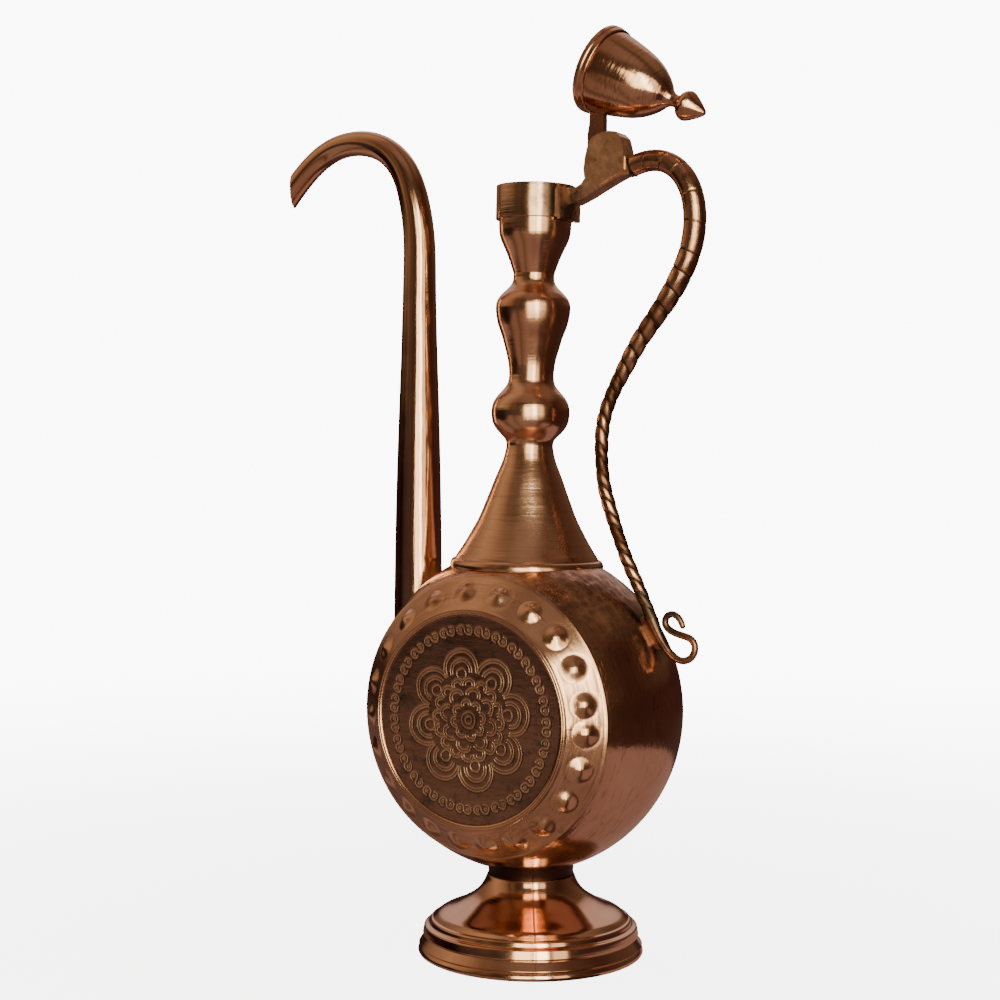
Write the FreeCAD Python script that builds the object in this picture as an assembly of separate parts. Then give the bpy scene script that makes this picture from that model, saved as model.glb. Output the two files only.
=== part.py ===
"""Copper ewer: a drum-shaped water jug on a spun foot, with a turned neck, a crook-necked spout,
a tapered tube handle and a hinged bell lid.

Row frame, millimetres: the foot stands on Z = 0 with its centre at the origin, +Z runs up, the spout
is on the -X side, the handle on the +X side, and the engraved front face looks along -Y.  The neck
leans a little, as it was soldered by hand.  The lid is stored open, just short of its stop.
"""
import FreeCAD, Part
import math
import os

V = FreeCAD.Vector
X_DIR, Y_DIR, Z_DIR = V(1, 0, 0), V(0, 1, 0), V(0, 0, 1)

# ---- driving dimensions -------------------------------------------------------------------------
SHEET = 1.0                      # copper sheet

BODY_C = V(-2.7, -1.5, 102.9)    # middle of the drum, a little off the foot's axis
DRUM_R = 67.9                    # at the drum's widest
CREASE_R = 57.0                  # where the side meets a face dish
CREASE_Y = 32.8                  # from the drum's middle
FACE_Y = 44.0                    # medallion surface, from the drum's middle
MEDALLION_R = 42.2
MEDALLION_SEAT = 3.0             # width of the ledge the medallion sits on
BEAD_W = 2.6                     # raised bead around the medallion
BEAD_H = 0.9
SEAM_H = 0.5                     # proud lip of the seam at the crease
BOSS_COUNT = 22
BOSS_PHASE = 12.4                # degrees, first boss
BOSS_R = 4.6
BOSS_H = 2.0

FOOT_RIM_IN = 43.8
FOOT_RIM_R = 47.4
FOOT_SEAT_Z = 3.2                # the spun foot stands on the rim ring here

NECK_FOOT = V(-2.9, 0, 163.0)    # where the neck's axis meets the drum
NECK_LEAN = 1.28                 # degrees towards the handle
CONE_TOP_Z = 213.5
BULB_TOP_Z = 242.5
VASE_TOP_Z = 285.0
NECK_SPIGOT = 3.0                # length of each sleeve joint in the neck
SPIGOT_WALL = 0.8
NECK_HOLE_R = 22.0               # opening in the drum under the cone

MOUTH_R = 16.6
MOUTH_BORE_R = 15.1
MOUTH_TOP_Z = 321.4
MOUTH_BOTTOM_Z = 307.3
CUP_SEAT_R = 15.3                # counterbore in the mouth band's foot
CUP_SEAT = 3.9                   # depth of that counterbore
CUP_RIM_R = CUP_SEAT_R - 0.06
CUP_LAP = 3.7                    # how far the cup's rim reaches up into the mouth band

SPOUT_X = -57.9
SPOUT_CUT = V(-127.1, 0, 329)    # the slanting outlet passes through here
SPOUT_CUT_SKEW = 18.0            # degrees about the vertical

HINGE = V(30.3, 0, 334.7)
HINGE_PIN_R = 1.5
PIN_PLAY = 0.06
KNUCKLE_R = 2.9
EAR_OUT = 4.7                    # half width across the hinge ears
ARM_OUT = 4.0                    # half width of the bracket's arm
SLOT_HALF = 2.05
STRAP_HALF = 1.7
STOP_GAP = 0.3
LID_OPEN_DEG = 114.4
LID_GAP = 0.2                    # under the closed lid
LID_R = 18.4

TUBE_WALL = 0.9
PAD_T = 1.6


# ---- helpers ------------------------------------------------------------------------------------
def spline(points):
    """Smooth edge through the points."""
    curve = Part.BSplineCurve()
    curve.interpolate(points)
    return curve.toShape()


def inward(profile, wall):
    """The (r, z) profile moved by one wall thickness towards the axis side, along its normals."""
    moved = []
    last = len(profile) - 1
    for i, (r, z) in enumerate(profile):
        r0, z0 = profile[max(i - 1, 0)]
        r1, z1 = profile[min(i + 1, last)]
        dr, dz = r1 - r0, z1 - z0
        length = math.hypot(dr, dz)
        moved.append((r - wall * dz / length, z + wall * dr / length))
    return moved


def spun_sheet(profile, wall=SHEET):
    """Sheet of revolution about Z.  The profile runs upwards through (r, z) points."""
    outer = [V(r, 0, z) for r, z in profile]
    inner = [V(r, 0, z) for r, z in inward(profile, wall)]
    inner[0].z = outer[0].z
    inner[-1].z = outer[-1].z
    wire = Part.Wire([
        spline(outer),
        Part.makeLine(outer[-1], inner[-1]),
        spline(inner[::-1]),
        Part.makeLine(inner[0], outer[0]),
    ])
    return Part.Face(wire).revolve(V(), Z_DIR, 360)


def turned(points):
    """Solid of revolution about Z from a closed (r, z) polygon."""
    wire = Part.makePolygon([V(r, 0, z) for r, z in points + points[:1]])
    return Part.Face(wire).revolve(V(), Z_DIR, 360)


def ring(r_in, r_out, z0, z1):
    """Plain ring about Z."""
    return turned([(r_in, z0), (r_out, z0), (r_out, z1), (r_in, z1)])


def plate(outline, y0, y1):
    """Flat plate in the XZ plane from an (x, z) outline."""
    wire = Part.makePolygon([V(x, y0, z) for x, z in outline + outline[:1]])
    return Part.Face(wire).extrude(V(0, y1 - y0, 0))


def disc_y(centre, radius, y0, y1):
    """Round disc with its axis along Y."""
    return Part.makeCylinder(radius, y1 - y0, V(centre.x, y0, centre.z), Y_DIR)


def tapered_rod(path, radii, shrink=0.0, sections=26):
    """Round rod along a smooth XZ path; the radii are spread along it, less shrink."""
    curve = Part.BSplineCurve()
    curve.interpolate([V(x, 0, z) for x, z in path])
    edge = curve.toShape()
    wires = []
    for i in range(sections + 1):
        share = i / sections
        at = edge.getParameterByLength(share * edge.Length)
        tangent = edge.tangentAt(at).normalize()
        slot = share * (len(radii) - 1)
        k = min(int(slot), len(radii) - 2)
        radius = radii[k] + (radii[k + 1] - radii[k]) * (slot - k) - shrink
        circle = Part.Wire(Part.Circle(V(), Z_DIR, radius).toShape())
        turn = FreeCAD.Rotation(Y_DIR, tangent.cross(Y_DIR), tangent, "ZXY")
        circle.Placement = FreeCAD.Placement(edge.valueAt(at), turn)
        wires.append(circle)
    return Part.makeLoft(wires, True, False)


def about_drum(face):
    """Revolves an (r, y) face, drawn at X = r, about the drum's own Y axis."""
    solid = face.revolve(V(), Y_DIR, 360)
    solid.translate(BODY_C)
    return solid


def leaned(shape):
    """Puts a piece drawn about the Z axis onto the leaning axis of the neck."""
    shape.translate(V(NECK_FOOT.x, NECK_FOOT.y, 0))
    shape.rotate(NECK_FOOT, Y_DIR, NECK_LEAN)
    return shape


# ---- drum ---------------------------------------------------------------------------------------
def side_arc(drum_r, crease_r):
    """Arc of the drum's side from the front crease to the rear one."""
    a, m, b = V(crease_r, -CREASE_Y, 0), V(drum_r, 0, 0), V(crease_r, CREASE_Y, 0)
    return Part.Arc(a, m, b).toShape()


def drum_envelope(grow=0.0):
    """Solid filled drum, used to trim what is soldered to it."""
    r, face = CREASE_R + grow, FACE_Y + grow
    rim = MEDALLION_R + BEAD_W + grow
    wire = Part.Wire([
        Part.makeLine(V(0, -face, 0), V(rim, -face, 0)),
        Part.makeLine(V(rim, -face, 0), V(r, -CREASE_Y, 0)),
        side_arc(DRUM_R + grow, r),
        Part.makeLine(V(r, CREASE_Y, 0), V(rim, face, 0)),
        Part.makeLine(V(rim, face, 0), V(0, face, 0)),
        Part.makeLine(V(0, face, 0), V(0, -face, 0)),
    ])
    return about_drum(Part.Face(wire))


def body_band(spout_bore):
    """Barrel side of the drum, open at the top into the neck and on the left into the spout."""
    inner_r = CREASE_R - SHEET
    wire = Part.Wire([
        side_arc(DRUM_R, CREASE_R),
        Part.makeLine(V(CREASE_R, CREASE_Y, 0), V(inner_r, CREASE_Y, 0)),
        side_arc(DRUM_R - SHEET, inner_r),
        Part.makeLine(V(inner_r, -CREASE_Y, 0), V(CREASE_R, -CREASE_Y, 0)),
    ])
    band = about_drum(Part.Face(wire))
    neck_hole = Part.makeCylinder(NECK_HOLE_R, 100, V(NECK_FOOT.x, 0, BODY_C.z), Z_DIR)
    return band.cut(neck_hole).cut(spout_bore)


def dish(side):
    """Sloping face of the drum: seam lip, a ring of raised bosses, the bead and the medallion seat."""
    rim = MEDALLION_R + BEAD_W
    slope = math.atan2(CREASE_R - rim, FACE_Y - CREASE_Y)
    drop = SHEET / math.sin(slope)       # sheet thickness measured along Y on the sloping part
    seat = FACE_Y - SHEET
    ledge = MEDALLION_R - MEDALLION_SEAT
    outline = [
        (CREASE_R - SHEET, CREASE_Y), (CREASE_R + SEAM_H, CREASE_Y),
        (CREASE_R + SEAM_H, CREASE_Y + 0.8), (CREASE_R - 0.4, CREASE_Y + 1.3),
        (rim, FACE_Y), (rim - 0.4, FACE_Y + 0.7 * BEAD_H), (rim - BEAD_W / 2, FACE_Y + BEAD_H),
        (MEDALLION_R + 0.4, FACE_Y + 0.7 * BEAD_H), (MEDALLION_R, FACE_Y), (MEDALLION_R, seat),
        (ledge, seat), (ledge, seat - SHEET),
        (rim - 0.8, seat - SHEET), (CREASE_R - SHEET - 0.4, CREASE_Y + 1.3 - drop * 0.4),
    ]
    points = [V(r, side * y, 0) for r, y in outline]
    shell = about_drum(Part.Face(Part.makePolygon(points + points[:1])))
    mid_r = (CREASE_R + rim) / 2 - 0.2
    mid_y = (CREASE_Y + FACE_Y) / 2 + 0.2
    ball_r = (BOSS_R ** 2 + BOSS_H ** 2) / (2 * BOSS_H)
    sink = ball_r - BOSS_H
    ball_at = (mid_r - sink * math.cos(slope), mid_y - sink * math.sin(slope))
    under = drum_envelope(-0.4)
    caps = []
    for i in range(BOSS_COUNT):
        a = math.radians(BOSS_PHASE + 360 * i / BOSS_COUNT)
        centre = V(ball_at[0] * math.cos(a), side * ball_at[1], ball_at[0] * math.sin(a)) + BODY_C
        caps.append(Part.makeSphere(ball_r, centre).cut(under))
    return shell.fuse(caps)


def medallion(side):
    """Flat engraved disc in the dish's seat."""
    y0 = BODY_C.y + (side * FACE_Y if side < 0 else FACE_Y - SHEET)
    return disc_y(BODY_C, MEDALLION_R, y0, y0 + SHEET)


# ---- foot ---------------------------------------------------------------------------------------
def foot_rim_ring():
    """Heavy half-round base ring with a ledge that the spun foot sits on."""
    r = FOOT_RIM_R
    return turned([
        (FOOT_RIM_IN, 0), (r - 1.0, 0), (r - 0.2, 0.8), (r, 1.8), (r - 0.1, 2.8), (r - 0.5, 3.7),
        (r - 1.1, 4.2), (r - 1.5, 4.2), (r - 1.5, FOOT_SEAT_Z), (FOOT_RIM_IN, FOOT_SEAT_Z),
    ])


def foot_shell(envelope):
    """Spun pedestal: stepped mouldings, a broad dome and a waist that meets the drum."""
    steps = [(FOOT_RIM_R - 1.5, FOOT_SEAT_Z), (45.9, 4.3), (46.5, 4.7), (46.3, 6.2), (45.7, 7.8),
             (44.9, 8.3), (45.0, 9.0), (44.7, 10.4), (43.8, 11.7), (42.7, 12.2), (42.0, 12.4),
             (42.2, 13.0), (41.9, 14.0), (41.2, 14.6), (40.8, 14.8), (40.9, 15.3), (40.5, 16.1),
             (39.7, 16.6), (39.0, 16.8)]
    ogee = [(39.0, 16.8), (37.8, 17.5), (35.8, 18.4), (32.6, 19.7), (29.3, 21.4), (25.9, 23.4),
            (23.2, 25.4), (21.3, 27.4), (19.9, 29.5), (18.9, 31.6), (18.3, 33.6), (18.3, 36.0),
            (18.7, 40.0)]
    under = [(17.7, 40.0)] + [(r - 0.85, z - 0.7) for r, z in ogee[::-1][1:]]
    inside = [under[-1], (37.6, 12.6), (41.0, 7.2), (43.2, FOOT_SEAT_Z), steps[0]]
    edges = [
        Part.makePolygon([V(r, 0, z) for r, z in steps]),
        spline([V(r, 0, z) for r, z in ogee]),
        Part.makeLine(V(ogee[-1][0], 0, ogee[-1][1]), V(under[0][0], 0, under[0][1])),
        spline([V(r, 0, z) for r, z in under]),
        Part.makePolygon([V(r, 0, z) for r, z in inside]),
    ]
    parts = [e for shape in edges for e in shape.Edges]
    shell = Part.Face(Part.Wire(parts)).revolve(V(), Z_DIR, 360)
    return shell.cut(envelope)


# ---- neck ---------------------------------------------------------------------------------------
CONE = [(31.6, 157.0), (31.1, 162.0), (30.4, 165.2), (28.0, 169.3), (25.5, 173.5), (23.2, 177.6),
        (21.0, 181.8), (19.2, 186.0), (17.6, 190.2), (15.9, 194.6), (14.3, 199.0), (12.6, 203.2),
        (11.0, 207.4), (10.2, 210.6), (9.8, CONE_TOP_Z)]
BULB = [(9.8, CONE_TOP_Z), (10.2, 215.2), (12.0, 217.4), (14.2, 219.8), (15.8, 222.6), (16.4, 226.0),
        (16.3, 229.0), (15.3, 232.0), (13.3, 234.8), (11.2, 237.2), (9.8, 239.6), (9.4, BULB_TOP_Z)]
VASE = [(9.4, BULB_TOP_Z), (9.7, 246.6), (10.4, 250.2), (11.6, 254.6), (12.9, 259.0), (14.5, 263.4),
        (15.4, 267.4), (15.7, 270.6), (15.2, 273.6), (13.3, 276.4), (10.7, 279.0), (9.1, 281.2),
        (8.6, 283.2), (8.6, VASE_TOP_Z)]
CUP = [(8.6, VASE_TOP_Z), (9.4, 287.4), (10.6, 290.8), (12.1, 294.4), (13.7, 297.8), (14.7, 300.6),
       (15.1, 303.6), (CUP_RIM_R, MOUTH_BOTTOM_Z), (CUP_RIM_R, MOUTH_BOTTOM_Z + CUP_LAP)]


def sleeved(profile, top_z):
    """Spun neck piece with a thin sleeve on its top that the next piece slides over."""
    r = profile[-1][0]
    fit = r - SHEET - 0.05
    inside = fit - SPIGOT_WALL
    sleeve = turned([(inside, top_z - 1.2), (r - 0.4, top_z - 1.2), (r - 0.4, top_z), (fit, top_z),
                     (fit, top_z + NECK_SPIGOT), (inside, top_z + NECK_SPIGOT)])
    return spun_sheet(profile).fuse(sleeve)


def neck_cone(envelope):
    """Long cone whose lower edge is cut to the drum."""
    return leaned(sleeved(CONE, CONE_TOP_Z)).cut(envelope)


def neck_base_ring(envelope):
    """Half-round wire soldered round the foot of the cone."""
    cone_filled = turned([(0, 150)] + CONE + [(0, CONE_TOP_Z)])
    section = [(29.0, 160.8), (31.6, 160.8), (32.2, 161.9), (32.3, 163.4), (31.8, 164.8),
               (31.0, 165.6), (29.0, 165.6)]
    return leaned(turned(section).cut(cone_filled)).cut(leaned(spun_sheet(CONE))).cut(envelope)


def mouth_band():
    """Thick turned band round the mouth, counterbored for the cup's rim."""
    seat_z = MOUTH_BOTTOM_Z + CUP_SEAT
    return leaned(turned([
        (CUP_SEAT_R, MOUTH_BOTTOM_Z), (MOUTH_R, MOUTH_BOTTOM_Z), (MOUTH_R, MOUTH_TOP_Z),
        (MOUTH_BORE_R, MOUTH_TOP_Z), (MOUTH_BORE_R, seat_z), (CUP_SEAT_R, seat_z),
    ]))


# ---- spout --------------------------------------------------------------------------------------
SPOUT_PATH = [(SPOUT_X, 110.0), (SPOUT_X, 150.0), (SPOUT_X, 190.0), (SPOUT_X, 245.0),
              (SPOUT_X, 285.0), (-58.3, 304.0), (-61.2, 320.5), (-67.8, 335.4), (-78.9, 344.4),
              (-92.1, 347.4), (-105.1, 345.4), (-116.1, 339.3), (-126.9, 329.4), (-134.9, 320.6)]
SPOUT_RADII = [10.5, 10.5, 10.3, 10.0, 9.5, 8.8, 8.0, 7.4, 7.0, 6.5, 5.8, 5.4, 5.2, 5.0]


def spout_solid(shrink):
    """Filled spout, or its bore when shrunk by the sheet."""
    return tapered_rod(SPOUT_PATH, SPOUT_RADII, shrink, sections=36)


def spout_tube(envelope, bore):
    """Tapered tube with a crook at the top, cut upright at the outlet and fitted to the drum."""
    beyond = Part.makeBox(40, 60, 60, V(SPOUT_CUT.x - 40, -30, 290))
    beyond.rotate(SPOUT_CUT, Z_DIR, SPOUT_CUT_SKEW)
    return spout_solid(0).cut(bore).cut(beyond).cut(envelope)


# ---- handle -------------------------------------------------------------------------------------
HANDLE_PATH = [(45.5, 326.1), (52.1, 327.7), (59.3, 327.2), (66.5, 323.0), (72.1, 314.0),
               (73.8, 303.0), (72.1, 291.5), (66.3, 278.6), (58.4, 267.0), (49.7, 255.6),
               (42.5, 243.8), (36.3, 232.0), (33.0, 221.0), (32.4, 210.0), (33.9, 197.0),
               (37.7, 184.0), (43.3, 169.6), (49.6, 156.4), (56.2, 143.0)]
HANDLE_RADII = [4.35, 4.4, 4.6, 4.7, 4.6, 4.45, 4.1, 3.7, 3.35, 3.1, 3.05, 3.05, 3.0, 2.9, 2.8, 2.7]
SCROLL_PATH = [(56.2, 143.0), (58.5, 138.2), (60.9, 134.0), (63.2, 131.0), (66.0, 128.5),
               (68.8, 127.1), (71.7, 127.3), (74.2, 129.1), (75.2, 131.6), (74.9, 134.2),
               (73.2, 136.0), (70.6, 136.9), (67.4, 137.7), (64.2, 139.0), (62.1, 141.4),
               (62.6, 144.2), (64.8, 145.5), (67.2, 144.8), (68.9, 142.9), (69.8, 140.9)]
SCROLL_RADII = [2.5, 2.0, 1.6, 1.5, 1.45, 1.45, 1.45, 1.45, 1.45, 1.45, 1.4, 1.35, 1.2]


def handle_tube(pad_zone):
    """Tapered S-shaped tube from the bracket to the drum's shoulder."""
    outer = tapered_rod(HANDLE_PATH, HANDLE_RADII)
    bore = tapered_rod(HANDLE_PATH, HANDLE_RADII, TUBE_WALL)
    return outer.cut(bore).cut(pad_zone)


def handle_scroll(pad_zone):
    """Tail rod that plugs the tube, runs over the foot pad and curls into a double loop."""
    rod = tapered_rod(SCROLL_PATH, SCROLL_RADII, sections=60)
    (x0, z0), (x1, z1) = HANDLE_PATH[-1], HANDLE_PATH[-2]
    back = V(x1 - x0, 0, z1 - z0).normalize()
    plug = Part.makeCylinder(HANDLE_RADII[-1] - TUBE_WALL - 0.1, 4.0, V(x0, 0, z0), back)
    return rod.fuse(plug).cut(pad_zone)


def handle_foot_pad(envelope, pad_zone):
    """Small curved pad soldered to the drum under the handle's tail."""
    out = V(math.cos(math.radians(30.5)), 0, math.sin(math.radians(30.5)))
    along = V(out.z, 0, -out.x)
    axis_foot = V(BODY_C.x, 0, BODY_C.z)
    upper = Part.makeCylinder(4.0, 90, axis_foot - along * 3.5, out)
    lower = Part.makeCylinder(4.0, 90, axis_foot + along * 3.5, out)
    bridge = Part.makeBox(7.0, 8.0, 90)
    turn = FreeCAD.Rotation(along, Y_DIR, out, "ZXY")
    bridge.Placement = FreeCAD.Placement(axis_foot - along * 3.5 + V(0, -4.0, 0), turn)
    return upper.fuse([lower, bridge]).common(pad_zone).cut(envelope)


# ---- hinge bracket ------------------------------------------------------------------------------
EAR = [(26.0, 322.8), (25.6, 326.1), (26.3, 331.2), (27.6, 336.0), (29.6, 338.8), (33.3, 340.2),
       (37.0, 340.7), (40.2, 340.2), (42.5, 337.9), (43.7, 333.6), (44.3, 330.2)]
ARM_TOP = [(15.5, 319.0), (21.9, 319.2), (24.2, 320.4), (26.0, 322.8)]
ARM_BOTTOM = [(46.6, 322.6), (42.8, 322.4), (38.0, 320.4), (32.5, 317.8), (26.9, 315.0),
              (21.3, 312.8), (15.5, 311.6)]
WEB_X = HINGE.x + 2.9 + STOP_GAP  # face that stops the strap when the lid is open


def handle_bracket():
    """Brass casting: a saddle on the mouth band, an arm, two hinge ears and a spigot for the tube."""
    arm = plate(ARM_TOP + [(44.3, 330.2)] + ARM_BOTTOM, -ARM_OUT, ARM_OUT)
    ears = plate(EAR + [(44.3, 324.6), (33.0, 319.2)], -EAR_OUT, EAR_OUT)
    saddle = leaned(ring(MOUTH_R, MOUTH_R + 2.2, MOUTH_BOTTOM_Z - 0.8, MOUTH_TOP_Z - 2.0))
    sector = Part.makePolygon([V(0, 0, 300), V(40, -20.4, 300), V(40, 20.4, 300), V(0, 0, 300)])
    saddle = saddle.common(Part.Face(sector).extrude(V(0, 0, 30)))
    casting = arm.fuse([ears, saddle])
    casting = casting.cut(leaned(Part.makeCylinder(MOUTH_R, 40, V(0, 0, 300), Z_DIR)))
    slot = plate([(15, 324.6), (27.0, 328.2), (WEB_X, 330.2), (WEB_X, 350), (15, 350)],
                 -SLOT_HALF, SLOT_HALF)
    casting = casting.cut(slot).cut(disc_y(HINGE, HINGE_PIN_R, -6, 6))
    (x0, z0), (x1, z1) = HANDLE_PATH[0], HANDLE_PATH[1]
    along = V(x1 - x0, 0, z1 - z0).normalize()
    beyond = Part.makeCylinder(14, 30, V(x0, 0, z0), along)
    spigot = Part.makeCylinder(HANDLE_RADII[0] - TUBE_WALL - 0.25, 5.0,
                               V(x0, 0, z0) - along * 2.0, along)
    return casting.cut(beyond).fuse(spigot)


def hinge_pin():
    """Plain pin through both ears, filed flush."""
    return disc_y(HINGE, HINGE_PIN_R, -EAR_OUT, EAR_OUT)


# ---- lid, drawn closed and then swung open ------------------------------------------------------
RIM = [(LID_R, 0), (LID_R, 1.9), (18.05, 2.4), (17.95, 4.2), (17.3, 4.7)]
BELL = [(17.2, 1.2), (17.15, 3.0), (16.95, 5.5), (16.5, 8.4), (15.4, 13.6), (13.9, 19.4),
        (11.8, 24.9), (9.2, 29.2), (5.8, 33.2), (3.7, 35.3), (2.9, 36.6)]
FINIAL = [(0, 36.6), (2.9, 36.6), (2.6, 38.2), (2.8, 39.4), (4.5, 40.8), (5.8, 42.4), (6.2, 43.8),
          (5.9, 44.9), (4.9, 46.8), (3.4, 49.2), (1.8, 51.4), (0.6, 52.6), (0, 52.8)]


def swung_open(shape):
    """Lifts a lid piece to the mouth and turns it from closed to the stored, open pose."""
    shape.translate(V(0, 0, MOUTH_TOP_Z + LID_GAP))
    shape = leaned(shape)
    shape.rotate(HINGE, Y_DIR, LID_OPEN_DEG)
    return shape


def lid_rim_ring():
    """Stepped rim that rests on the mouth band."""
    bore = BELL[0][0] + 0.05
    return turned([(14.9, 0)] + RIM[:-1] + [(bore, 4.7), (bore, 1.2), (14.9, 1.2)])


def lid_bell():
    """Spun bell standing in the rim, with a hole for the finial's tang at its crown."""
    outside = turned([(0, 0)] + BELL + [(0, 36.6)])
    crown = ring(1.55, 2.9, 34.4, 36.6)
    return spun_sheet(BELL).fuse(crown.common(outside))


def lid_finial():
    """Turned knob whose tang is peened inside the bell."""
    tang = Part.makeCylinder(1.5, 4.0, V(0, 0, 32.8))
    head = Part.makeCylinder(2.3, 0.8, V(0, 0, 33.6))
    return turned(FINIAL).fuse([tang, head])


def lid_strap(lid_outside):
    """Flat tongue from the lid's rim to the hinge knuckle, drawn in the open pose."""
    h = HINGE
    tongue = plate([(h.x - 4.5, h.z), (h.x - 4.5, h.z + 6.0), (h.x - 3.6, h.z + 11),
                    (h.x - 3.6, h.z + 18), (h.x + 2.9, h.z + 18), (h.x + 2.9, h.z),
                    (h.x, h.z - 2.6), (h.x - 3.4, h.z - 1.8)], -STRAP_HALF, STRAP_HALF)
    knuckle = disc_y(h, KNUCKLE_R, -STRAP_HALF, STRAP_HALF)
    strap = tongue.fuse(knuckle).cut(disc_y(h, HINGE_PIN_R + PIN_PLAY, -3, 3))
    return strap.cut(lid_outside)


# ---- assembly -----------------------------------------------------------------------------------
def build():
    """All the pieces by node name."""
    envelope = drum_envelope()
    pad_zone = drum_envelope(PAD_T)
    bore = spout_solid(SHEET)
    lid_outside = swung_open(turned([(0, 0)] + RIM + BELL[3:] + [(0, 36.6)]))
    return {
        "foot_rim_ring": foot_rim_ring(),
        "foot_shell": foot_shell(envelope),
        "body_band": body_band(bore),
        "front_dish": dish(-1),
        "rear_dish": dish(1),
        "front_medallion": medallion(-1),
        "rear_medallion": medallion(1),
        "neck_cone": neck_cone(envelope),
        "neck_base_ring": neck_base_ring(envelope),
        "neck_bulb": leaned(sleeved(BULB, BULB_TOP_Z)),
        "neck_vase": leaned(sleeved(VASE, VASE_TOP_Z)),
        "neck_cup": leaned(spun_sheet(CUP)),
        "mouth_band": mouth_band(),
        "spout_tube": spout_tube(envelope, bore),
        "handle_bracket": handle_bracket(),
        "handle_tube": handle_tube(pad_zone),
        "handle_scroll": handle_scroll(pad_zone),
        "handle_foot_pad": handle_foot_pad(envelope, pad_zone),
        "hinge_pin": hinge_pin(),
        "lid_strap": lid_strap(lid_outside),
        "lid_rim_ring": swung_open(lid_rim_ring()),
        "lid_bell": swung_open(lid_bell()),
        "lid_finial": swung_open(lid_finial()),
    }


def main():
    os.makedirs("parts", exist_ok=True)
    for name, shape in build().items():
        print(f"{name:18s} solids {len(shape.Solids)}  valid {shape.isValid()}"
              f"  volume {shape.Volume / 1000:.2f} cm3")
        shape.exportStep(f"parts/{name}.step")


main()
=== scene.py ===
"""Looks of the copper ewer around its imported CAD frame.

Profiles and paths are in millimetres, as in the CAD source, and meshes are written in metres.  Row
frame: foot on Z = 0, spout on -X, handle on +X, engraved front towards -Y.
"""
import bpy
import bmesh
import math
import numpy as np
from mathutils import Matrix, Vector


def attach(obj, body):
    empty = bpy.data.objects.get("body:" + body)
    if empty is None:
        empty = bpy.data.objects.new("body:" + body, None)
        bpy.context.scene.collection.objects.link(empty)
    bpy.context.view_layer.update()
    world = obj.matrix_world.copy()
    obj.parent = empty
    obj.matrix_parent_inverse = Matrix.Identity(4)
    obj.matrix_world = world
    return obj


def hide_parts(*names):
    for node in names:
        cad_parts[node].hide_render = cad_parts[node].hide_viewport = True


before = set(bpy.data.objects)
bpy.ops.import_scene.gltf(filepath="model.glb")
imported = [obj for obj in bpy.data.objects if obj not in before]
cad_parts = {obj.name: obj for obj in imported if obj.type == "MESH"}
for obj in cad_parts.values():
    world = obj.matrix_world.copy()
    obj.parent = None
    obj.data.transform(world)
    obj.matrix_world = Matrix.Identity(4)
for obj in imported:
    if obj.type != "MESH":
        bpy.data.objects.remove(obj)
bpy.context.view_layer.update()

MM = 0.001
TAU = 2 * math.pi
ROUND_SHARE = 0.03      # how little the tool marks change round a turned piece

# ---- dimensions shared with the CAD source, except BOSS_H ---------------------------------------
SHEET = 1.0
BODY_C = np.array([-2.7, -1.5, 102.9])
DRUM_R, CREASE_R, CREASE_Y, FACE_Y = 67.9, 57.0, 32.8, 44.0
MEDALLION_R, BEAD_W, BEAD_H, SEAM_H = 42.2, 2.6, 0.9, 0.5
BOSS_COUNT, BOSS_PHASE, BOSS_R = 22, 12.4, 4.6
BOSS_H = 1.6            # lower than the CAD's 2.0, with softer edges
NECK_FOOT = np.array([-2.9, 0.0, 163.0])
NECK_LEAN = math.radians(1.28)
MOUTH_R, MOUTH_BORE_R, MOUTH_TOP_Z, MOUTH_BOTTOM_Z = 16.6, 15.1, 321.4, 307.3
HINGE = np.array([30.3, 0.0, 334.7])
LID_OPEN = math.radians(114.4)
LID_GAP = 0.2
TUBE_WALL = 0.9
SCORE_ROOM = 0.3        # extra wall inside the handle tube, so that its cuts don't break through


# ---- curves -------------------------------------------------------------------------------------
def smooth(points, step=0.5):
    """Evenly spaced points, about one step apart, of a natural cubic spline through the given ones."""
    p = np.array(points, float)
    t = np.concatenate([[0], np.cumsum(np.linalg.norm(np.diff(p, axis=0), axis=1))])
    h = np.diff(t)
    n = len(p)
    system, right = np.eye(n), np.zeros_like(p)
    for i in range(1, n - 1):
        system[i, i - 1:i + 2] = h[i - 1], 2 * (h[i - 1] + h[i]), h[i]
        right[i] = 6 * ((p[i + 1] - p[i]) / h[i] - (p[i] - p[i - 1]) / h[i - 1])
    m = np.linalg.solve(system, right)

    def at(s):
        k = np.clip(np.searchsorted(t, s, side="right") - 1, 0, n - 2)
        width = h[k][:, None]
        u, v = (s - t[k])[:, None], (t[k + 1] - s)[:, None]
        return (m[k] * v ** 3 + m[k + 1] * u ** 3) / (6 * width) \
            + (p[k] / width - m[k] * width / 6) * v + (p[k + 1] / width - m[k + 1] * width / 6) * u

    fine = at(np.linspace(0, t[-1], 40 * n))
    run = np.concatenate([[0], np.cumsum(np.linalg.norm(np.diff(fine, axis=0), axis=1))])
    even = np.linspace(0, run[-1], max(int(run[-1] / step), 4) + 1)
    return np.stack([np.interp(even, run, fine[:, k]) for k in range(p.shape[1])], 1)


def eased(points, radius=0.25, steps=4, closed=False):
    """Polyline whose corners are rounded off by about the radius."""
    p = np.array(points, float)
    out = []
    for i in range(len(p)):
        if not closed and i in (0, len(p) - 1):
            out.append(p[i])
            continue
        a, b, c = p[i - 1], p[i], p[(i + 1) % len(p)]
        before, after = np.linalg.norm(a - b), np.linalg.norm(c - b)
        start = b + (a - b) / before * min(radius, 0.45 * before)
        end = b + (c - b) / after * min(radius, 0.45 * after)
        for k in range(steps + 1):
            w = k / steps
            out.append((1 - w) ** 2 * start + 2 * w * (1 - w) * b + w * w * end)
    return np.array(out)


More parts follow.
